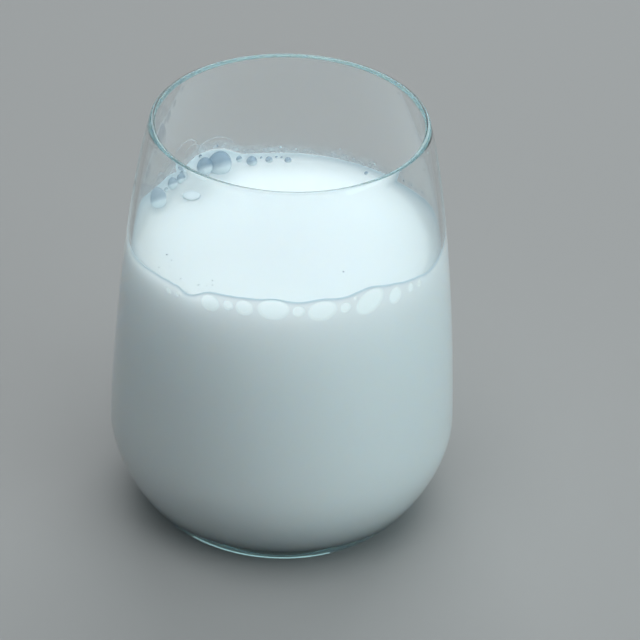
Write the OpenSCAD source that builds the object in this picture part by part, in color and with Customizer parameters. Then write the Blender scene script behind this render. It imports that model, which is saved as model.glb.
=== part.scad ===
// A stemless drinking glass, poured two thirds full of milk, with a row of bubbles round the milk's edge.
// The glass is one turned shape: a flat clear floor, a round belly and a wall that leans in to the rim.
// Origin: centre of the foot, on the table. +Z is up, along the axis that the glass is turned on.
// The near side of the glass is -Y. Bearings are counted from +X towards +Y. Sizes are in millimetres.

/* [Glass] */
// Height from the table to the top of the rim
glass_h = 115; // [100:1:150]
// Outside diameter just under the rim
rim_d = 72.6; // [58:0.2:88]
// Outside diameter at the widest place of the belly
belly_d = 92.8; // [78:0.2:112]
// Height of the widest place above the table
belly_z = 25; // [20:0.5:32]
// Diameter of the flat foot
foot_d = 68; // [50:0.5:74]
// How far the wall leans in at the rim, in degrees from upright
rim_lean = 15; // [4:0.5:20]
// Wall thickness at the rim
rim_wall = 1.5; // [1:0.1:3]
// Wall thickness at the belly
belly_wall = 1.9; // [1.2:0.1:4]
// Thickness of the clear floor under the milk
floor_t = 5; // [3:0.1:12]

/* [Curves of the glass] */
// How far the foot's edge carries on outwards before it turns up
foot_flare = 1.9; // [0.5:0.1:6]
// How far below the widest place the belly's roundness reaches
belly_fall = 11; // [6:0.5:16]
// How far above the widest place the belly's roundness reaches
belly_rise = 5.5; // [3:0.5:16]
// How far below the rim the wall's lean reaches
rim_reach = 29; // [15:1:45]
// Diameter of the flat middle of the inside floor
cup_floor_d = 44; // [30:1:56]
// How far the inside floor carries on outwards before it turns up
cup_flare = 14; // [6:0.5:20]

/* [Milk] */
// Height of the milk's flat surface above the table
milk_z = 79.6; // [45:0.2:96]
// How far the milk climbs where it wets the wall
climb = 1.4; // [0.4:0.1:3]
// How far in from the wall the milk's surface has fallen to about a third of that climb
climb_w = 1.6; // [0.6:0.1:4]
// Clearance between the milk and the glass
milk_gap = 0.03; // [0.01:0.01:0.2]

/* [Bubbles] */
// How high a bubble's middle sits over the milk's surface, as a share of its radius
bubble_lift = 0.85; // [0.4:0.05:0.9]
// Clearance between a bubble and what it touches
bubble_gap = 0.05; // [0.01:0.01:0.2]

/* [Hidden] */
// Bearing and radius of each bubble that clings to the wall, round the near side and then the far left side
NEAR_BUBBLES = [[-117.5, 2.4], [-110.5, 1.3], [-104.5, 2.1], [-94, 3.5], [-85, 1.4], [-76.5, 3.3],
                [-68, 1.4], [-58, 3.8], [-47, 2.2]];
FAR_BUBBLES = [[90.5, 1], [98, 1.1], [104.5, 1.5], [109.5, 1], [115.5, 2.8], [122.5, 2.4],
               [136.5, 1.6], [141.5, 1.5], [152, 2.7]];

// Number of straight steps in each long curve, in a sharp one and in the rim's round top
LONG_STEPS = 20;
SHORT_STEPS = 14;
RIM_STEPS = 10;
// How many climb_w the milk's climb is followed inwards from the wall, and in how many steps
CLIMB_REACH = 5;
CLIMB_STEPS = 10;

$fn = 180;
// Roundness of the bubbles
BUBBLE_FN = 72;

foot_r = foot_d / 2;
belly_r = belly_d / 2;
cup_r = belly_r - belly_wall;
rim_bead = rim_wall / 2;
rim_mid = [rim_d / 2 - rim_bead, glass_h - rim_bead];
rim_out = [cos(rim_lean), sin(rim_lean)];
rim_down = [sin(rim_lean), -cos(rim_lean)];
contact_z = milk_z + climb;

// Points of a cubic curve from a to d that leaves a towards b and reaches d from c
function curve(a, b, c, d, steps) = [for (i = [0:steps]) let (t = i / steps)
    pow(1 - t, 3) * a + 3 * pow(1 - t, 2) * t * b + 3 * (1 - t) * t * t * c + pow(t, 3) * d];
function without_first(list) = [for (i = [1:len(list) - 1]) list[i]];
function reversed(list) = [for (i = [len(list) - 1:-1:0]) list[i]];

// One side of the wall in section, as [radius, height]: from the edge of a flat bottom, out and up round
// the belly, and in to the rim. side is 1 for the outside and -1 for the inside of the rim's round top.
function wall_side(flat_r, flat_z, flare, widest_r, side) =
    let (top = rim_mid + side * rim_bead * rim_out)
    concat(
        curve([flat_r, flat_z], [flat_r + flare, flat_z], [widest_r, belly_z - belly_fall],
              [widest_r, belly_z], SHORT_STEPS),
        without_first(curve([widest_r, belly_z], [widest_r, belly_z + belly_rise],
                            top + rim_reach * rim_down, top, LONG_STEPS)));

outside = wall_side(foot_r, 0, foot_flare, belly_r, 1);
inside = wall_side(cup_floor_d / 2, floor_t, cup_flare, cup_r, -1);
rim_top = [for (i = [1:RIM_STEPS - 1]) let (a = rim_lean + 180 * i / RIM_STEPS)
    rim_mid + rim_bead * [cos(a), sin(a)]];

// Inside radius of the glass at height z
function inside_r(z) = lookup(z, [for (p = inside) [p[1], p[0]]]);

// The milk's surface in section, from the wall at radius r to the axis
function milk_top(r) = concat(
    [for (i = [0:CLIMB_STEPS]) let (d = CLIMB_REACH * climb_w * i / CLIMB_STEPS)
        [r - d, milk_z + climb * exp(-d / climb_w)]],
    [[0, milk_z]]);

// The glass itself, with its floor and round rim
module glass() {
    color([0.80, 0.88, 0.90, 0.35])
    rotate_extrude()
    polygon(concat([[0, 0]], outside, rim_top, reversed(inside), [[0, floor_t]]));
}

// The milk fills the inside of the glass up to its level, a clearance away from the wall and the floor
module milk() {
    side = [for (p = inside) if (p[1] < contact_z - climb) [p[0] - milk_gap, p[1] + milk_gap]];
    color([0.91, 0.95, 0.97])
    rotate_extrude()
    polygon(concat([[0, floor_t + milk_gap]], side, milk_top(inside_r(contact_z) - milk_gap)));
}

// The room over the milk and inside the wall, a clearance away from both
module free_room() {
    room = [for (p = inside) if (p[1] > contact_z + climb) [p[0] - bubble_gap, p[1]]];
    floor_line = [for (p = milk_top(inside_r(contact_z) - bubble_gap)) p + [0, bubble_gap]];
    rotate_extrude()
    polygon(concat(reversed(floor_line), room, [[0, glass_h]]));
}

// One bubble of radius r: a ball whose middle is on the wall, so that half of it stands into the room
module wall_bubble(bearing, r) {
    z = milk_z + bubble_lift * r;
    rotate([0, 0, bearing]) translate([inside_r(z), 0, z]) sphere(r, $fn = BUBBLE_FN);
}

// All the bubbles, trimmed flat where they cling to the wall and where they sit on the milk
module bubbles() {
    color([0.86, 0.93, 0.96])
    intersection() {
        free_room();
        for (b = concat(NEAR_BUBBLES, FAR_BUBBLES)) wall_bubble(b[0], b[1]);
    }
}

glass();
milk();
bubbles();
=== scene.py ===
"""A stemless glass, two thirds full of milk, with bubbles round the milk's edge.

The glass and the milk are turned shapes whose sections repeat the sizes of the CAD model, so they lie where
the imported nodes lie. Lengths in this file are millimetres, and MM turns them into Blender's metres.
A bearing is an angle in degrees round the glass, from +X towards +Y, so -90 is the near side.
"""

import math

import bpy
import numpy as np
from mathutils import Matrix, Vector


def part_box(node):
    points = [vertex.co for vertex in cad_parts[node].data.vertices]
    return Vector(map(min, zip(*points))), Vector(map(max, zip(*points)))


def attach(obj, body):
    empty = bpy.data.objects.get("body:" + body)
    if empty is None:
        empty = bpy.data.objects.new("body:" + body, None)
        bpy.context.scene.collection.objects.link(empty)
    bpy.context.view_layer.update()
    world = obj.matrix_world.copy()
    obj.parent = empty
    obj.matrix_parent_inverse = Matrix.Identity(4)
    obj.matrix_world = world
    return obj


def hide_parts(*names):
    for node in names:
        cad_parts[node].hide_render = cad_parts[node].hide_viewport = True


MM = 0.001
BODY = "root"

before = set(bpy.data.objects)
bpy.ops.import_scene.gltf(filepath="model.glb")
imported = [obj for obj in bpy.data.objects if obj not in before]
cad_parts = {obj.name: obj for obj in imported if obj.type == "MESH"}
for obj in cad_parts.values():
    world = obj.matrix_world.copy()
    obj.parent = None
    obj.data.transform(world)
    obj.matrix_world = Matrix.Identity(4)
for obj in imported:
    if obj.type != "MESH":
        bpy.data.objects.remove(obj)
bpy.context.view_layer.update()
glass_low, glass_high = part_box("glass")
milk_low, milk_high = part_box("milk")

# Sizes of the glass, as in the CAD model.
GLASS_H = glass_high.z / MM
BELLY_R = (glass_high.x - glass_low.x) / 2 / MM
FLOOR_T = 5.0
RIM_R = 36.3
FOOT_R = 34.0
BELLY_Z = 25.0
RIM_LEAN = math.radians(15)
RIM_WALL = 1.5
BELLY_WALL = 1.9
FOOT_FLARE = 1.9
BELLY_FALL = 11.0
BELLY_RISE = 5.5
RIM_REACH = 29.0
CUP_FLOOR_R = 22.0
CUP_FLARE = 14.0

# The milk: its level, how high it climbs the wall, and how far its surface reaches into the wall.
CLIMB = 1.4
CLIMB_W = 0.6
NEAR_CLIMB_W = 2.0
MILK_Z = milk_high.z / MM - CLIMB
SOAK = 0.25
SOAK_FADE = 0.3  # how far under the edge the milk leaves the wall again

# Steps round the glass, in the cubic from the foot to the belly, in the one from there to the rim, and in
# the rim's half round.
AROUND = 480
LOW_STEPS = 26
HIGH_STEPS = 46
RIM_STEPS = 12


# ---------------------------------------------------------------- sections and grids


def curve(a, b, c, d, steps):
    """A cubic from a to d that leaves a towards b and reaches d from c, weighted (1-t)^3, 3(1-t)^2 t,
    3(1-t) t^2 and t^3."""
    t = np.linspace(0, 1, steps + 1)[:, None]
    a, b, c, d = (np.asarray(p, float) for p in (a, b, c, d))
    return (1 - t) ** 3 * a + 3 * (1 - t) ** 2 * t * b + 3 * (1 - t) * t**2 * c + t**3 * d


RIM_BEAD = RIM_WALL / 2
RIM_MID = np.array([RIM_R - RIM_BEAD, GLASS_H - RIM_BEAD])
RIM_OUT = np.array([math.cos(RIM_LEAN), math.sin(RIM_LEAN)])
RIM_DOWN = np.array([math.sin(RIM_LEAN), -math.cos(RIM_LEAN)])


def wall_side(flat_r, flat_z, flare, widest_r, side):
    """One side of the wall in section: a cubic from the edge of the flat bottom to the belly, and a cubic
    from there to the rim. side is 1 outside and -1 inside."""
    top = RIM_MID + side * RIM_BEAD * RIM_OUT
    low = curve((flat_r, flat_z), (flat_r + flare, flat_z), (widest_r, BELLY_Z - BELLY_FALL),
                (widest_r, BELLY_Z), LOW_STEPS)
    high = curve((widest_r, BELLY_Z), (widest_r, BELLY_Z + BELLY_RISE), top + RIM_REACH * RIM_DOWN, top,
                 HIGH_STEPS)
    return np.vstack([low, high[1:]])


OUTSIDE = wall_side(FOOT_R, 0, FOOT_FLARE, BELLY_R, 1)
INSIDE = wall_side(CUP_FLOOR_R, FLOOR_T, CUP_FLARE, BELLY_R - BELLY_WALL, -1)


def inside_r(z):
    """Inside radius of the glass at height z, read off the inside section."""
    return np.interp(z, INSIDE[:, 1], INSIDE[:, 0])


def new_piece(name, points, faces, material, replaces=None):
    """A mesh piece from an array of points in millimetres and an array, or arrays, of faces."""
    mesh = bpy.data.meshes.new(name)
    listed = [f for group in (faces if isinstance(faces, list) else [faces]) for f in group.tolist()]
    mesh.from_pydata((np.asarray(points, float) * MM).tolist(), [], listed)
    mesh.shade_smooth()
    mesh.validate()
    piece = bpy.data.objects.new(name, mesh)
    bpy.context.scene.collection.objects.link(piece)
    mesh.materials.append(material)
    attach(piece, BODY)
    if replaces:
        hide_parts(replaces)
    return piece


def grid_faces(rows, cols, wrap_cols=False, wrap_rows=False):
    """Quads of a grid of points numbered row by row. With rows going up a wall and columns going round it
    from +X to +Y, they face outwards."""
    i = np.arange(rows if wrap_rows else rows - 1)[:, None]
    j = np.arange(cols if wrap_cols else cols - 1)[None, :]
    up, on = (i + 1) % rows, (j + 1) % cols
    quads = np.stack([i * cols + j, i * cols + on, up * cols + on, up * cols + j], -1)
    return quads.reshape(-1, 4)


def turned(radius, height, bearings):
    """Points of a turned grid: row i has radius[i] and height[i], which may also change with the column's
    bearing."""
    radius, height = (np.broadcast_to(np.asarray(v, float).reshape(len(v), -1), (len(v), len(bearings)))
                      for v in (radius, height))
    return np.stack([radius * np.cos(bearings), radius * np.sin(bearings), height], -1)


def capped(grid, low_z, high_z):
    """Closes a turned grid at both ends with a point on the axis, and gives its points and faces."""
    rows, cols = grid.shape[:2]
    points = np.vstack([grid.reshape(-1, 3), [[0, 0, low_z]], [[0, 0, high_z]]])
    j = np.arange(cols)
    on = (j + 1) % cols
    low = np.stack([np.full(cols, rows * cols), on, j], -1)
    last = (rows - 1) * cols
    high = np.stack([np.full(cols, rows * cols + 1), last + j, last + on], -1)
    return points, [grid_faces(rows, cols, wrap_cols=True), low, high]


def set_value(piece, name, values):
    """Writes one number a point to the piece, for its material to read."""
    held = piece.data.attributes.new(name, "FLOAT", "POINT")
    held.data.foreach_set("value", np.asarray(values, np.float32).ravel())


# ---------------------------------------------------------------- materials


def new_material(name):
    """An empty node material, its tree and its output node."""
    material = bpy.data.materials.new(name)
    material.use_nodes = True
    tree = material.node_tree
    tree.nodes.clear()
    return material, tree, tree.nodes.new("ShaderNodeOutputMaterial")


def add(tree, kind, **inputs):
    """A node of this kind with its inputs set: a socket is linked, anything else is a value."""
    node = tree.nodes.new(kind)
    for name, value in inputs.items():
        counted = name[0] == "i" and name[1:].isdigit()
        socket = node.inputs[int(name[1:]) if counted else name.replace("_", " ")]
        if isinstance(value, bpy.types.NodeSocket):
            tree.links.new(value, socket)
        else:
            socket.default_value = value
    return node


GLASS_IOR = 1.5
GLASS_TINT = (0.79, 0.87, 0.872, 1)
GLASS_DEPTH_TINT = 80.0  # absorption for each metre of glass


def clear_glass():
    """Polished soda-lime glass: it bends light, lets lamps through to what stands behind it, and goes faintly
    sea green where the light runs far inside it."""
    material, tree, out = new_material("clear_glass")
    glass = add(tree, "ShaderNodeBsdfGlass", Color=(1, 1, 1, 1), Roughness=0.0, IOR=GLASS_IOR)
    lamps = add(tree, "ShaderNodeBsdfTransparent", Color=(0.96, 0.98, 0.98, 1))
    path = add(tree, "ShaderNodeLightPath")
    mix = add(tree, "ShaderNodeMixShader", Fac=path.outputs["Is Shadow Ray"],
              i1=glass.outputs[0], i2=lamps.outputs[0])
    depth = add(tree, "ShaderNodeVolumeAbsorption", Color=GLASS_TINT, Density=GLASS_DEPTH_TINT)
    tree.links.new(mix.outputs[0], out.inputs["Surface"])
    tree.links.new(depth.outputs[0], out.inputs["Volume"])
    return material


# Colours of the milk: its top, a darker copy of its side's white as painted shade for the strong light on the
# top;
# its side; the flat faces of bubbles, painted whiter, and their faint glow, painted light for what they pass
# on from the milk's bright top; milk that lies thin on the wall; and the hair line where it ends, painted
# grey as painted shade.
# the top's white, darker than the side's: painted shade for the strong light on the top; milky bubble skins
# use it too
MILK_TOP_PAINTED_SHADE_AND_SKIN_WHITE = (0.81, 0.89, 0.92, 1)
SIDE_WHITE = (0.89, 0.96, 0.968, 1)
# whiter flat faces of bubbles: painted highlight for light from the milk's bright top; drops use it as their
# pale white
DROP_WHITE_AND_WINDOW_PAINTED_LIGHT = (0.93, 1.0, 1.0, 1)
# colour of the painted glow in the bubbles' flat faces
PAINTED_GLOW_COLOUR = (0.60, 1.0, 1.0, 1)
THIN_BLUE = (0.72, 0.88, 0.95, 1)
# grey hair line at the milk's edge: painted shade
EDGE_LINE_PAINTED_SHADE = (0.47, 0.62, 0.71, 1)
PAINTED_GLOW_STRENGTH = 0.14  # strength of the painted glow in a bubble's flat face, which stands in for the light it passes on
MILK_IOR = 1.35
FILM_IOR = 1.33


def attribute(tree, name):
    """The output that reads one of the numbers written to the points by set_value."""
    node = tree.nodes.new("ShaderNodeAttribute")
    node.attribute_name = name
    return node.outputs["Fac"]


def milk_body():
    """Cool white milk that light soaks a few millimetres into. Its top is painted a darker white than its
    side, as painted shade for the strong light on the top. It is bluer where it lies thin on the wall. The
    flat faces of the bubbles are painted whiter and given a faint glow, a painted highlight and painted light
    for the light that the milk's bright top sends through them. The hair line where it ends is painted grey,
    a painted shade."""
    material, tree, out = new_material("milk")
    # the top takes the darker white: painted shade
    body = add(tree, "ShaderNodeMixRGB", Fac=attribute(tree, "side"), Color1=MILK_TOP_PAINTED_SHADE_AND_SKIN_WHITE, Color2=SIDE_WHITE)
    thin = add(tree, "ShaderNodeMixRGB", Fac=attribute(tree, "thin"), Color1=body.outputs[0],
               Color2=THIN_BLUE)
    window = attribute(tree, "window")
    # the bubbles' flat faces painted whiter: painted highlight
    lit = add(tree, "ShaderNodeMixRGB", Fac=window, Color1=thin.outputs[0], Color2=DROP_WHITE_AND_WINDOW_PAINTED_LIGHT)
    # the hair line painted grey: painted shade
    edged = add(tree, "ShaderNodeMixRGB", Fac=attribute(tree, "line"), Color1=lit.outputs[0],
                Color2=EDGE_LINE_PAINTED_SHADE)
    skin = add(tree, "ShaderNodeBsdfPrincipled", Base_Color=edged.outputs[0], Roughness=0.25, IOR=MILK_IOR)
    # a faint glow in the bubbles' flat faces: painted light, not a lamp
    skin.inputs["Emission Color"].default_value = PAINTED_GLOW_COLOUR
    glow = add(tree, "ShaderNodeMath", i0=PAINTED_GLOW_STRENGTH, i1=window)
    glow.operation = "MULTIPLY"
    tree.links.new(glow.outputs[0], skin.inputs["Emission Strength"])
    material.cycles.emission_sampling = "NONE"
    deep = add(tree, "ShaderNodeMath", i0=1.0, i1=attribute(tree, "film"))
    deep.operation = "SUBTRACT"
    tree.links.new(deep.outputs[0], skin.inputs["Subsurface Weight"])
    skin.inputs["Subsurface Radius"].default_value = (1.0, 1.1, 1.2)
    skin.inputs["Subsurface Scale"].default_value = 0.018
    tree.links.new(skin.outputs[0], out.inputs["Surface"])
    return material


def milk_edge():
    """Milk in a small drop: white to pale blue, with hardly any depth for light to run through."""
    material, tree, out = new_material("milk_edge")
    place = tree.nodes.new("ShaderNodeTexCoord").outputs["Object"]
    cloudy = add(tree, "ShaderNodeTexNoise", Vector=place, Scale=500.0, Detail=2.0)
    colour = add(tree, "ShaderNodeMixRGB", Fac=cloudy.outputs[0], Color1=THIN_BLUE, Color2=DROP_WHITE_AND_WINDOW_PAINTED_LIGHT)
    skin = add(tree, "ShaderNodeBsdfPrincipled", Base_Color=colour.outputs[0], Roughness=0.2, IOR=MILK_IOR)
    tree.links.new(skin.outputs[0], out.inputs["Surface"])
    return material


# Colours of a bubble's skin, whose blue grey is partly the film's own tint and partly painted shade for the
# dark seen through the bubble, and of the veil that milk leaves on glass.
SKIN_TINT_AND_PAINTED_SHADE = (0.34, 0.47, 0.58, 1)
RESIDUE_GREY = (0.78, 0.84, 0.87, 1)


def bubble_film():
    """The skin of a bubble: a glossy see-through blue grey film, which the milky attribute turns to white
    milk where the film is thick. The blue grey is partly the thin film's own tint and partly painted shade
    for the dark seen through the bubble."""
    material, tree, out = new_material("bubble_film")
    milky = attribute(tree, "milky")
    # the skin's blue grey: partly its own tint, partly painted shade
    colour = add(tree, "ShaderNodeMixRGB", Fac=milky, Color1=SKIN_TINT_AND_PAINTED_SHADE, Color2=MILK_TOP_PAINTED_SHADE_AND_SKIN_WHITE)
    cover = add(tree, "ShaderNodeMapRange", Value=milky, From_Min=0.0, From_Max=0.9, To_Min=0.45,
                To_Max=1.0)
    film = add(tree, "ShaderNodeBsdfPrincipled", Base_Color=colour.outputs[0], Roughness=0.12, IOR=FILM_IOR)
    clear = add(tree, "ShaderNodeBsdfTransparent", Color=(0.90, 0.94, 0.98, 1))
    mix = add(tree, "ShaderNodeMixShader", Fac=cover.outputs[0], i1=clear.outputs[0], i2=film.outputs[0])
    tree.links.new(mix.outputs[0], out.inputs["Surface"])
    return material


def residue_film():
    """What milk leaves on glass: a veil that is almost clear, mottled at a millimetre or two, and thicker
    where the veil attribute says."""
    material, tree, out = new_material("residue_film")
    place = tree.nodes.new("ShaderNodeTexCoord").outputs["Object"]
    mottle = add(tree, "ShaderNodeTexNoise", Vector=place, Scale=520.0, Detail=2.0, Roughness=0.5)
    patch = add(tree, "ShaderNodeTexNoise", Vector=place, Scale=160.0, Detail=2.0)
    spots = add(tree, "ShaderNodeMapRange", Value=mottle.outputs[0], From_Min=0.30, From_Max=0.85)
    broad = add(tree, "ShaderNodeMapRange", Value=patch.outputs[0], From_Min=0.30, From_Max=0.70,
                To_Min=0.35)
    uneven = add(tree, "ShaderNodeMath", i0=spots.outputs[0], i1=broad.outputs[0])
    uneven.operation = "MULTIPLY"
    lifted = add(tree, "ShaderNodeMath", i0=uneven.outputs[0], i1=0.25)
    cover = add(tree, "ShaderNodeMath", i0=lifted.outputs[0], i1=attribute(tree, "veil"))
    cover.operation = "MULTIPLY"
    film = add(tree, "ShaderNodeBsdfPrincipled", Base_Color=RESIDUE_GREY, Roughness=0.3, IOR=FILM_IOR)
    clear = add(tree, "ShaderNodeBsdfTransparent", Color=(1, 1, 1, 1))
    mix = add(tree, "ShaderNodeMixShader", Fac=cover.outputs[0], i1=clear.outputs[0], i2=film.outputs[0])
    tree.links.new(mix.outputs[0], out.inputs["Surface"])
    return material


# ---------------------------------------------------------------- pieces


def make_glass(material):
    """The glass: its section runs from the axis out under the foot, up the outside, over a half round rim,
    down the inside and in over the floor, and is turned round the axis."""
    turn = RIM_LEAN + math.pi * np.arange(1, RIM_STEPS) / RIM_STEPS
    rim = RIM_MID + RIM_BEAD * np.stack([np.cos(turn), np.sin(turn)], -1)
    foot = np.stack([np.linspace(6, FOOT_R, 6)[:-1], np.zeros(5)], -1)
    floor = np.stack([np.linspace(CUP_FLOOR_R, 5, 5)[1:], np.full(4, FLOOR_T)], -1)
    section = np.vstack([foot, OUTSIDE, rim, INSIDE[::-1], floor])
    bearings = np.linspace(-math.pi, math.pi, AROUND, endpoint=False)
    points, faces = capped(turned(section[:, 0], section[:, 1], bearings), 0, FLOOR_T)
    return new_piece("drinking_glass", points, faces, material, "glass")


# Bubbles pressed against the near wall: bearing, height of the middle over the milk's level, half width,
# half height, tilt in degrees, and how far the milk's edge is lifted over the bubble.
NEAR_WINDOWS = np.array([
    (-136, 0.9, 0.8, 0.8, 0, 0.4),
    (-131.5, 1.3, 0.6, 0.6, 0, 0.8),
    (-117.5, 2.5, 2.4, 2.0, 5, 0.2),
    (-110.5, 3.2, 1.2, 1.2, 0, 0.2),
    (-104.5, 3.4, 2.1, 1.9, 0, 0.45),
    (-94, 3.9, 3.8, 2.7, 0, 1.15),
    (-85, 3.5, 1.4, 1.3, 0, 0),
    (-76.5, 3.3, 3.5, 2.5, 8, 1.0),
    (-68, 3.4, 1.3, 1.3, 0, 0.2),
    (-64, 5.4, 0.45, 0.45, 0, 0.2),
    (-58, 3.5, 4.0, 2.8, 25, 1.9),
    (-47, 2.5, 1.9, 2.1, -10, 0.5),
    (-39, 2.4, 1.0, 1.2, 0, 0.2),
    (-34, 2.0, 0.8, 0.9, 0, 0.3),
])
NEAR_WINDOWS[:, 1] += MILK_Z
WINDOW_DEPTH = 0.1  # how far the milk stands back from the wall in a bubble's flat face
WINDOW_SOFT = 0.16  # half width of the soft step at its edge, as a share of the ellipse

# Where rows of bubbles hold the milk up against the wall: the bearings that the swell lies between, how
# softly it starts and ends there in degrees, and how high it lifts the milk.
SWELLS = np.array([
    (-122.3, -35, 2.2, 6, 4.2),
    (113, 132.5, 2.6, 2.0, 4.4),
    (136, 168, 1.5, 5, 2.1),
    (142.5, 147.5, 1.0, 0.8, 0.7),
])

# Where the milk climbs higher all along the far side, and at the right, the left and the near left: bearing,
# half width in degrees, lift.
FAR_LIFT = (100, 70, 0.8)
SIDE_LIFTS = ((6, 24, 4.2), (174, 12, 4.5), (-140, 14, 1.9))

# How far past a near bubble, in millimetres, its lift of the edge reaches.
LIFT_MARGIN = 1.2


def wrapped(degrees):
    """Angles brought to between -180 and 180 degrees."""
    return (degrees + 180) % 360 - 180


def bump(degrees, middle, half_width):
    """A smooth bump of height 1 round a bearing: exp of minus the squared distance over the half width."""
    return np.exp(-((wrapped(degrees - middle) / half_width) ** 2))


def step(distance):
    """A smooth step from 0 to 1: one over one plus exp of minus the distance."""
    return 1 / (1 + np.exp(-distance))


def edge_z(degrees):
    """Height of the line where the milk ends on the wall: the level plus the climb, a broad lift on the far
    side, the swells, each the product of two smooth steps, the side lifts and a bump over each near
    bubble."""
    turn = wrapped(degrees)
    bearing, half_width, lift = FAR_LIFT
    rise = CLIMB + lift * bump(degrees, bearing, half_width)
    for first, last, soft_first, soft_last, lift in SWELLS:
        rise = rise + lift * step((turn - first) / soft_first) * step((last - turn) / soft_last)
    for bearing, half_width, lift in SIDE_LIFTS:
        rise = rise + lift * bump(degrees, bearing, half_width)
    for bearing, height, half_w, _, _, lift in NEAR_WINDOWS:
        rise = rise + lift * bump(degrees, bearing, math.degrees((half_w + LIFT_MARGIN) / inside_r(height)))
    return MILK_Z + rise


def window_share(degrees, height):
    """For points of the wall, how far each lies inside a bubble's flat face (1 inside the tilted ellipse, 0
    outside, a smooth step across its edge) and how far the milk stands back from the wall there."""
    share = np.zeros_like(degrees)
    depth = np.zeros_like(degrees)
    for bearing, middle, half_w, half_h, tilt, _ in NEAR_WINDOWS:
        along = np.radians(wrapped(degrees - bearing)) * inside_r(middle)
        up = height - middle
        c, s = math.cos(math.radians(tilt)), math.sin(math.radians(tilt))
        q = np.hypot((along * c + up * s) / half_w, (up * c - along * s) / half_h)
        inside = np.clip((1 + WINDOW_SOFT - q) / (2 * WINDOW_SOFT), 0, 1)
        inside = inside * inside * (3 - 2 * inside)
        share = np.maximum(share, inside)
        depth = np.maximum(depth, inside * WINDOW_DEPTH)
    return share, depth


# Columns of the milk's grid, closer together where there are bubbles: first bearing, last bearing, count.
MILK_COLUMNS = ((-152, -24, 420), (-24, 104, 96), (104, 162, 160), (162, 208, 36))
BAND_STEPS = 51  # rows of the fine band of the side, which starts BAND_DROP under the level
BAND_DROP = 2.5
TOP_STEPS = 45  # rows of the top
TOP_BUNCHING = 1.6  # power by which those rows lie closer together near the wall
TOP_INNER_R = 3  # radius of the innermost of them

# The far side, where the edge has no hair line, and the near side, where the climb is wide: bearing and half
# width in degrees.
FAR_SIDE = (105, 75)
NEAR_SIDE = (-79, 80)

# How far the edge's looks reach down the side and inwards over the top: its hair line of grey painted shade,
# the thin milk beside it, and over the top the milk that is too thin for light to soak in.
LINE_DOWN = 0.55
LINE_IN = 0.3
THIN_DOWN = 2.0
THIN_IN = 1.5
FILM_IN = 1.3


def make_milk(material):
    """The milk: bottom and side follow the inside of the glass, a little inside the wall, up to edge_z. The
    top falls from there to the level as exp(-distance from the wall / width)."""
    degrees = np.concatenate([np.linspace(low, high, n, endpoint=False) for low, high, n in MILK_COLUMNS])
    bearings = np.radians(degrees)
    band_z = MILK_Z - BAND_DROP
    side = INSIDE[INSIDE[:, 1] < band_z - 0.5][::2]
    floor = np.linspace(4, CUP_FLOOR_R, 5)[:-1]
    low_r = np.concatenate([floor, side[:, 0] + SOAK])
    low_z = np.concatenate([np.full(4, FLOOR_T), side[:, 1]]) - SOAK
    edge = edge_z(degrees)
    up = np.linspace(0, 1, BAND_STEPS + 1)[:, None]
    band_h = band_z + (edge - band_z) * up
    share, depth = window_share(np.broadcast_to(degrees, band_h.shape), band_h)
    band_r = inside_r(band_h) + SOAK * np.clip((edge - band_h) / SOAK_FADE, 0, 1) - depth - SOAK * share
    across = 1 - np.linspace(0, 1, TOP_STEPS + 1)[1:, None] ** TOP_BUNCHING
    far = bump(degrees, *FAR_SIDE)
    wide = CLIMB_W + (NEAR_CLIMB_W - CLIMB_W) * bump(degrees, *NEAR_SIDE)
    rim_r = inside_r(edge)
    top_r = TOP_INNER_R + (rim_r - TOP_INNER_R) * across
    top_z = MILK_Z + (edge - MILK_Z) * np.exp(-(rim_r - top_r) / wide)
    radius = np.vstack([np.broadcast_to(low_r[:, None], (len(low_r), len(degrees))), band_r, top_r])
    height = np.vstack([np.broadcast_to(low_z[:, None], (len(low_z), len(degrees))), band_h, top_z])
    points, faces = capped(turned(radius, height, bearings), FLOOR_T - SOAK, MILK_Z)
    piece = new_piece("poured_milk", points, faces, material, "milk")

    def written(name, on_side, on_top, low=0):
        """Writes a number that is the same all over the low side and given for the band and the top."""
        rows = np.vstack([np.full((len(low_r), len(degrees)), low), on_side, on_top])
        set_value(piece, name, np.append(rows.ravel(), [0, 0]))

    inward = rim_r - top_r
    none = np.zeros(top_r.shape)
    # window marks where the bubbles' faces are painted whiter and glow with painted light
    written("window", share, none)
    # side is 1 on the side and 0 on the top, which takes the darker painted shade white
    written("side", np.ones(band_h.shape), none, 1)
    # line is where the grey painted shade of the hair line lies
    line = (1 - far) * np.exp(-(((edge - band_h) / LINE_DOWN) ** 2))
    written("film", 0.9 * line, np.exp(-inward / FILM_IN))
    written("line", line, (1 - far) * np.exp(-((inward / LINE_IN) ** 2)))
    written("thin", np.exp(-(edge - band_h) / THIN_DOWN), (1 - 0.8 * far) * np.exp(-inward / THIN_IN))
    return piece


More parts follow.
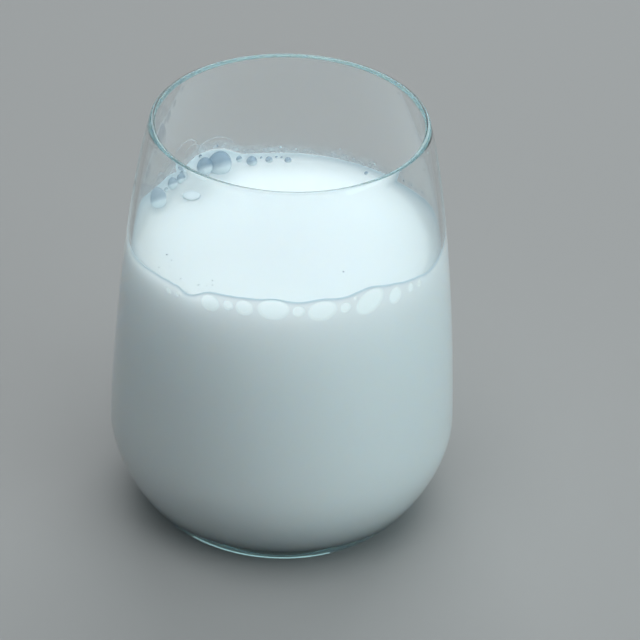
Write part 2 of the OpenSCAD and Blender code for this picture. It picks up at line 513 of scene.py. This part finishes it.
# Bubbles on the far wall: bearing, height of the middle over the milk's level, radius, how far the middle
# stands off the wall, and how milky the skin is.
FAR_BUBBLES = np.array([
    (119, 1.6, 3.6, 1.0, 0.0),
    (125.5, 2.1, 2.5, 0.9, 0.05),
    (127, 5.3, 0.5, 0.2, 0.05),
    (110, 1.4, 0.9, 0.6, 0.20),
    (105, 0.5, 1.5, 1.4, 0.0),
    (101, 0.9, 0.4, 0.5, 0.10),
    (98, 0.4, 1.0, 1.1, 0.05),
    (95, 0.9, 0.4, 0.5, 0.10),
    (93, 0.8, 0.4, 0.5, 0.10),
    (90.5, 0.2, 1.0, 1.2, 0.0),
    (144, 1.8, 1.7, 0.9, 0.30),
    (139, 1.6, 1.3, 0.8, 0.25),
    (136.5, 1.1, 0.9, 0.7, 0.25),
    (156, 0.9, 3.4, 0.9, 0.30),
    (148, 1.0, 0.9, 0.9, 0.50),
    (58, 0.4, 0.6, 1.0, 0.05),
    (48.5, 0.1, 0.5, 2.2, 0.10),
])
FAR_BUBBLES[:, 1] += MILK_Z


def on_wall(degrees, height, off=0.0):
    """Points on the inside of the wall, standing off it towards the axis."""
    turn = np.radians(degrees)
    radius = inside_r(height) - off
    return np.stack([radius * np.cos(turn), radius * np.sin(turn), height + 0 * radius], -1)


def joined(parts):
    """Points and faces of several closed grids as one mesh."""
    first = np.cumsum([0] + [len(points) for points, _ in parts[:-1]])
    faces = [group + start for (_, groups), start in zip(parts, first) for group in groups]
    return np.vstack([points for points, _ in parts]), faces


DOME_RINGS = 25
DOME_SIDES = 40
WALL_PRESS = 0.05  # how far a skin's back is pressed into the wall
DRAIN = (0.35, -0.54, -0.84)  # towards the side of a bubble that the milk drains to


def bubble_dome(bearing, height, radius, stand_off, least):
    """A bubble's skin: a sphere in polar angles round the line from the wall to the axis, where the part
    past the wall is pressed onto it. Also gives how milky each point is: clear at the top, and white on the
    lower near right side, where milk clings to the skin."""
    polar = np.linspace(0, math.pi, DOME_RINGS + 1)[1:-1, None]
    turn = np.linspace(0, 2 * math.pi, DOME_SIDES, endpoint=False)[None, :]
    inward = np.cos(polar) + 0 * turn
    along, up = np.sin(polar) * np.cos(turn), np.sin(polar) * np.sin(turn)
    b = math.radians(bearing)
    axes = np.array([(-math.cos(b), -math.sin(b), 0), (-math.sin(b), math.cos(b), 0), (0, 0, 1)])
    ends = np.array([(1, 0, 0), (-1, 0, 0)])
    local = np.vstack([np.stack([inward, along, up], -1).reshape(-1, 3), ends])
    out = local @ axes
    points = on_wall(bearing, height, stand_off) + radius * local @ axes
    limit = inside_r(points[:, 2]) + WALL_PRESS
    points[:, :2] *= np.minimum(1, limit / np.hypot(points[:, 0], points[:, 1]))[:, None]
    rows, cols = len(polar), turn.size
    j = np.arange(cols)
    on = (j + 1) % cols
    pole = np.stack([np.full(cols, rows * cols), on, j], -1)
    last = (rows - 1) * cols
    back = np.stack([np.full(cols, rows * cols + 1), last + j, last + on], -1)
    down = DRAIN[0] * out[:, 0] + DRAIN[1] * out[:, 1] + DRAIN[2] * out[:, 2]
    drained = np.clip((down + 0.15) / 0.8, 0, 1)
    milky = least + drained * drained * (3 - 2 * drained)
    return points, [grid_faces(rows, cols, wrap_cols=True), pole, back], np.clip(milky, 0, 1)


def make_bubbles(material):
    """The skins of the bubbles on the far wall, as one mesh."""
    domes = [bubble_dome(*row) for row in FAR_BUBBLES]
    points, faces = joined([dome[:2] for dome in domes])
    piece = new_piece("bubble_skins", points, faces, material, "bubbles")
    set_value(piece, "milky", np.concatenate([dome[2] for dome in domes]))
    return piece


def swept(path, half_width, half_depth, around):
    """A closed tube along a path of points on the wall. At each point its section is an ellipse: half_width
    across the path in the wall's face and half_depth off the wall. Both ends close on a point."""
    ahead = np.gradient(path, axis=0)
    ahead /= np.linalg.norm(ahead, axis=1, keepdims=True)
    inward = -path * (1, 1, 0)
    inward /= np.linalg.norm(inward, axis=1, keepdims=True)
    across = np.cross(ahead, inward)
    turn = np.linspace(0, 2 * math.pi, around, endpoint=False)[None, :, None]
    half_width, half_depth = (np.broadcast_to(v, len(path))[:, None, None]
                              for v in (half_width, half_depth))
    ring = (path[:, None] + half_width * np.cos(turn) * across[:, None]
            + half_depth * np.sin(turn) * inward[:, None])
    rows = len(path)
    points = np.vstack([ring.reshape(-1, 3), path[:1] - 0.1 * ahead[:1], path[-1:] + 0.1 * ahead[-1:]])
    j = np.arange(around)
    on = (j + 1) % around
    start = np.stack([np.full(around, rows * around), j, on], -1)
    last = (rows - 1) * around
    end = np.stack([np.full(around, rows * around + 1), last + on, last + j], -1)
    return points, [grid_faces(rows, around, wrap_cols=True)[:, ::-1], start, end]


BEAD_SIDES = 8
BEAD_RINGS = (88, 60, 30)  # angles from the wall's normal
BEAD_RISE = 0.6  # how far a bead stands off the wall, as a share of its radius
BEAD_DROOP = 1.15  # height of a bead as a share of its width


def bead(degrees, height, radius, spin=0.0):
    """A low round drop on the wall, of rings round its tip: each ring is at an angle from the wall's normal,
    with the radius times its sine across, and BEAD_RISE of the radius times its cosine off the wall."""
    sides, rows = BEAD_SIDES, len(BEAD_RINGS)
    turn = np.linspace(0, 2 * math.pi, sides, endpoint=False) + spin
    rings = np.radians(BEAD_RINGS)[:, None]
    along = radius * np.sin(rings) * np.cos(turn)
    up = radius * np.sin(rings) * np.sin(turn) * BEAD_DROOP
    off = BEAD_RISE * radius * np.cos(rings) - 0.02 + 0 * along
    ring = on_wall(degrees + np.degrees(along / inside_r(height)), height + up, off).reshape(-1, 3)
    ends = [on_wall(degrees, height, BEAD_RISE * radius), on_wall(degrees, height, -0.04)]
    j = np.arange(sides)
    on = (j + 1) % sides
    last = (rows - 1) * sides
    tip = np.stack([np.full(sides, rows * sides), last + on, last + j], -1)
    foot = np.stack([np.full(sides, rows * sides + 1), j, on], -1)
    return np.vstack([ring, ends]), [grid_faces(rows, sides, wrap_cols=True)[:, ::-1], tip, foot]


SPECKS = 110
SPECK_SIDE = (86, 88)  # middle of the specks' side of the wall, and how far they reach both ways, in degrees


def make_droplets(material):
    """Specks of milk left on the wall over the far edge, few at its middle and more towards both sides: the
    bearings are the cube roots of even draws. A few specks are larger."""
    rng = np.random.default_rng(5)
    middle, reach = SPECK_SIDE
    degrees = middle + reach * np.cbrt(rng.uniform(-1, 1, SPECKS))
    height = edge_z(degrees) + 0.2 + rng.gamma(2.0, 0.7, SPECKS)
    size = rng.uniform(0.06, 0.16, SPECKS) + 0.2 * (rng.random(SPECKS) < 0.03)
    spin = rng.uniform(0, math.pi, SPECKS)
    points, faces = joined([bead(*row) for row in zip(degrees, height, size, spin)])
    piece = new_piece("wall_specks", points, faces, material)
    set_value(piece, "milky", np.full(len(points), 0.2))
    return piece


# Single drops of milk on the wall: bearing, height, radius.
SPLASHES = np.array([
    (93.5, 83.6, 0.35),
    (87.5, 83.1, 0.25),
    (55, 83.4, 0.30),
    (70, 85.0, 0.20),
    (-14, 111.6, 0.25),
])


def make_splashes(material):
    """The single drops of milk on the wall over its level."""
    points, faces = joined([bead(*row) for row in SPLASHES])
    return new_piece("wall_drops", points, faces, material)


CAP_RINGS = (110, 88, 60, 30)  # angles from the top
CAP_Z = 0.02  # height of a cap's widest place over the milk


def cap(x, y, radius, height, sides):
    """A low bubble that floats on the milk: four rings and a point, where a ring at angle a from the top has
    the radius times sin(a) and the height times cos(a)."""
    rows = len(CAP_RINGS)
    turn = np.linspace(0, 2 * math.pi, sides, endpoint=False)
    rings = np.radians(CAP_RINGS)[:, None]
    ring = np.stack([x + radius * np.sin(rings) * np.cos(turn), y + radius * np.sin(rings) * np.sin(turn),
                     MILK_Z + CAP_Z + height * np.cos(rings) + 0 * turn], -1)
    ends = [(x, y, MILK_Z + CAP_Z + height), (x, y, MILK_Z - 0.4 * height)]
    j = np.arange(sides)
    on = (j + 1) % sides
    last = (rows - 1) * sides
    top = np.stack([np.full(sides, rows * sides), last + j, last + on], -1)
    foot = np.stack([np.full(sides, rows * sides + 1), on, j], -1)
    return np.vstack([ring.reshape(-1, 3), ends]), [grid_faces(rows, sides, wrap_cols=True), top, foot]


# Single bubbles out on the milk: x, y, radius, height, sides, and how milky the skin is.
LONE_BUBBLES = (
    (14.8, -15.6, 0.26, 0.2, 10, 0.25),
    (-30.9, -9.9, 0.24, 0.2, 10, 0.3),
    (-29.5, -12.5, 0.16, 0.12, 10, 0.1),
    (-26.2, 20.1, 2.5, 0.38, 48, 0.88),
)


FROTH = 70
FROTH_SIDE = (-128, 14)  # middle and spread of the froth's bearings, in degrees
FROTH_OUT_R = 40.0  # the radius that the froth reaches out to


def make_froth(material):
    """Fine bubbles on the milk: the single ones, and a thin scatter near the wall at the near left."""
    rng = np.random.default_rng(8)
    bearing = np.radians(rng.normal(*FROTH_SIDE, FROTH))
    out = FROTH_OUT_R - rng.gamma(1.6, 1.8, FROTH)
    size = rng.uniform(0.08, 0.2, FROTH)
    scatter = [(r * math.cos(b), r * math.sin(b), w, 0.7 * w, 10, 0.3)
               for b, r, w in zip(bearing, out, size)]
    rows = list(LONE_BUBBLES) + scatter
    caps = [cap(*row[:5]) for row in rows]
    points, faces = joined(caps)
    piece = new_piece("surface_froth", points, faces, material)
    set_value(piece, "milky", np.concatenate([np.full(len(c[0]), row[5]) for c, row in zip(caps, rows)]))
    return piece


# Faint rings where a bubble has burst on the wall: bearing, height of the foot, half width, height.
BURST_RINGS = np.array([
    (134.5, 87.6, 4.2, 4.2),
    (131.0, 86.6, 2.6, 3.0),
    (121.0, 86.0, 5.6, 3.5),
    (143.5, 84.2, 4.0, 3.6),
    (153.0, 83.2, 3.4, 4.0),
    (147.0, 83.2, 5.2, 6.6),
])


def make_burst_rings(material):
    """Faint arched lines of milk on the far left wall: half ellipses swept with a hair thin section."""
    t = np.linspace(0.04, 0.96, 60) * math.pi
    parts = []
    for bearing, foot, half_w, tall in BURST_RINGS:
        height = foot + tall * np.sin(t)
        degrees = bearing + np.degrees(half_w * np.cos(t) / inside_r(height))
        taper = 0.05 + 0.14 * np.sin(t)
        parts.append(swept(on_wall(degrees, height, 0.0), taper, 0.05, 8))
    points, faces = joined(parts)
    piece = new_piece("burst_rings", points, faces, material)
    set_value(piece, "veil", np.full(len(points), 0.5))
    return piece


VEIL_TALL = 14.0  # height of the veil over the milk's edge
VEIL_OFF = (0.01, 0.05)  # how far its back and its front stand off the wall
VEIL_SIDE = (95, 75)  # where it is thickest: bearing and half width in degrees
VEIL_COLUMNS = 240
VEIL_ROWS = 30


def make_veil(material):
    """The thin veil of milk on the wall over the edge: a closed band that follows the wall. How thick it
    looks falls with the height over the edge, as exp of minus its fourth power and exp of minus itself."""
    degrees = np.linspace(-180, 180, VEIL_COLUMNS, endpoint=False)
    up = np.linspace(0, 1, VEIL_ROWS)[:, None]
    height = edge_z(degrees) - 0.2 + VEIL_TALL * up
    near = inside_r(height) - VEIL_OFF[1]
    far = inside_r(height) - VEIL_OFF[0]
    height = np.broadcast_to(height, near.shape)
    radius = np.vstack([far, near[::-1]])
    rows = np.vstack([height, height[::-1]])
    points = turned(radius, rows, np.radians(degrees)).reshape(-1, 3)
    faces = grid_faces(len(rows), len(degrees), wrap_cols=True, wrap_rows=True)
    piece = new_piece("wall_veil", points, faces, material)
    over = VEIL_TALL * up + 0 * height
    side = bump(degrees, *VEIL_SIDE)
    veil = side * (0.50 * np.exp(-((over / 2.6) ** 4)) + 0.30 * np.exp(-over / 5.0)) * (1 - up)
    set_value(piece, "veil", np.vstack([veil, veil[::-1]]))
    return piece


# ---------------------------------------------------------------- stage


def placed(right, up, back, place):
    """The matrix of a lamp or camera at this place that looks away from back."""
    return Matrix(np.vstack([np.column_stack([right, up, back, place]), [0, 0, 0, 1]]))


def make_camera():
    """A long lens looking down at the glass from the near side, turned a little round its own line of sight,
    so that the glass seems to lean."""
    pitch, yaw, roll = 0.5793, 0.0123, 0.0367
    away = GLASS_H * MM * np.array([0, -6.708, 4.859])
    ahead = np.array([math.sin(yaw) * math.cos(pitch), math.cos(yaw) * math.cos(pitch), -math.sin(pitch)])
    right = np.array([math.cos(yaw), -math.sin(yaw), 0])
    up = np.cross(right, ahead)
    across = math.cos(roll) * right + math.sin(roll) * up
    upright = math.cos(roll) * up - math.sin(roll) * right
    lens = bpy.data.cameras.new("camera")
    lens.lens = 194.4
    lens.sensor_width = 36
    lens.clip_start = 0.01
    camera = bpy.data.objects.new("camera", lens)
    bpy.context.scene.collection.objects.link(camera)
    camera.matrix_world = placed(across, upright, -ahead, away)
    bpy.context.scene.camera = camera


FLOOR_GREY = (0.43, 0.425, 0.415, 1)


def make_floor():
    """A wide pale floor."""
    side = 3000
    points = np.array([(-side, -side, 0), (side, -side, 0), (side, side, 0), (-side, side, 0)], float)
    mesh = bpy.data.meshes.new("floor")
    mesh.from_pydata((points * MM).tolist(), [], [(0, 1, 2, 3)])
    floor = bpy.data.objects.new("floor", mesh)
    bpy.context.scene.collection.objects.link(floor)
    material, tree, out = new_material("floor")
    pale = add(tree, "ShaderNodeBsdfPrincipled", Base_Color=FLOOR_GREY, Roughness=0.75)
    tree.links.new(pale.outputs[0], out.inputs["Surface"])
    mesh.materials.append(material)


def soft_lamp(name, place, aim, size, power, colour):
    """A square soft lamp at place, in metres, that shines at aim."""
    data = bpy.data.lights.new(name, "AREA")
    data.shape = "SQUARE"
    data.size = size
    data.energy = power
    data.color = colour
    lamp = bpy.data.objects.new(name, data)
    bpy.context.scene.collection.objects.link(lamp)
    back = np.asarray(place, float) - np.asarray(aim, float)
    back /= np.linalg.norm(back)
    right = np.cross((0, 0, 1), back)
    right /= np.linalg.norm(right)
    up = np.cross(back, right)
    lamp.matrix_world = placed(right, up, back, place)


def light_stage():
    """A cool window lamp high behind the glass, a large soft lamp overhead, a cool one at the right and a
    dim sky. Light may bounce many times, because it crosses the glass's walls again and again."""
    middle = (0, 0, 0.06)
    soft_lamp("window", (0.15, 1.15, 0.90), middle, 1.2, 9, (0.93, 0.98, 1.0))
    soft_lamp("overhead", (0.0, -0.22, 1.20), middle, 1.0, 6.4, (0.94, 0.99, 1.0))
    soft_lamp("side", (1.0, -0.55, 0.45), middle, 0.8, 3.4, (0.80, 0.96, 1.0))
    world = bpy.data.worlds.new("sky")
    bpy.context.scene.world = world
    world.use_nodes = True
    sky = world.node_tree.nodes["Background"]
    sky.inputs["Color"].default_value = (0.80, 0.90, 1.0, 1)
    sky.inputs["Strength"].default_value = 0.17
    bpy.context.scene.view_settings.view_transform = "Standard"
    cycles = bpy.context.scene.cycles
    cycles.max_bounces = 40
    cycles.glossy_bounces = 32
    cycles.transmission_bounces = 32
    cycles.transparent_max_bounces = 24


make_camera()
make_floor()
light_stage()
make_glass(clear_glass())
milk = milk_body()
film = bubble_film()
residue = residue_film()
make_milk(milk)
make_bubbles(film)
make_splashes(milk_edge())
make_froth(film)
make_droplets(film)
make_burst_rings(residue)
make_veil(residue)
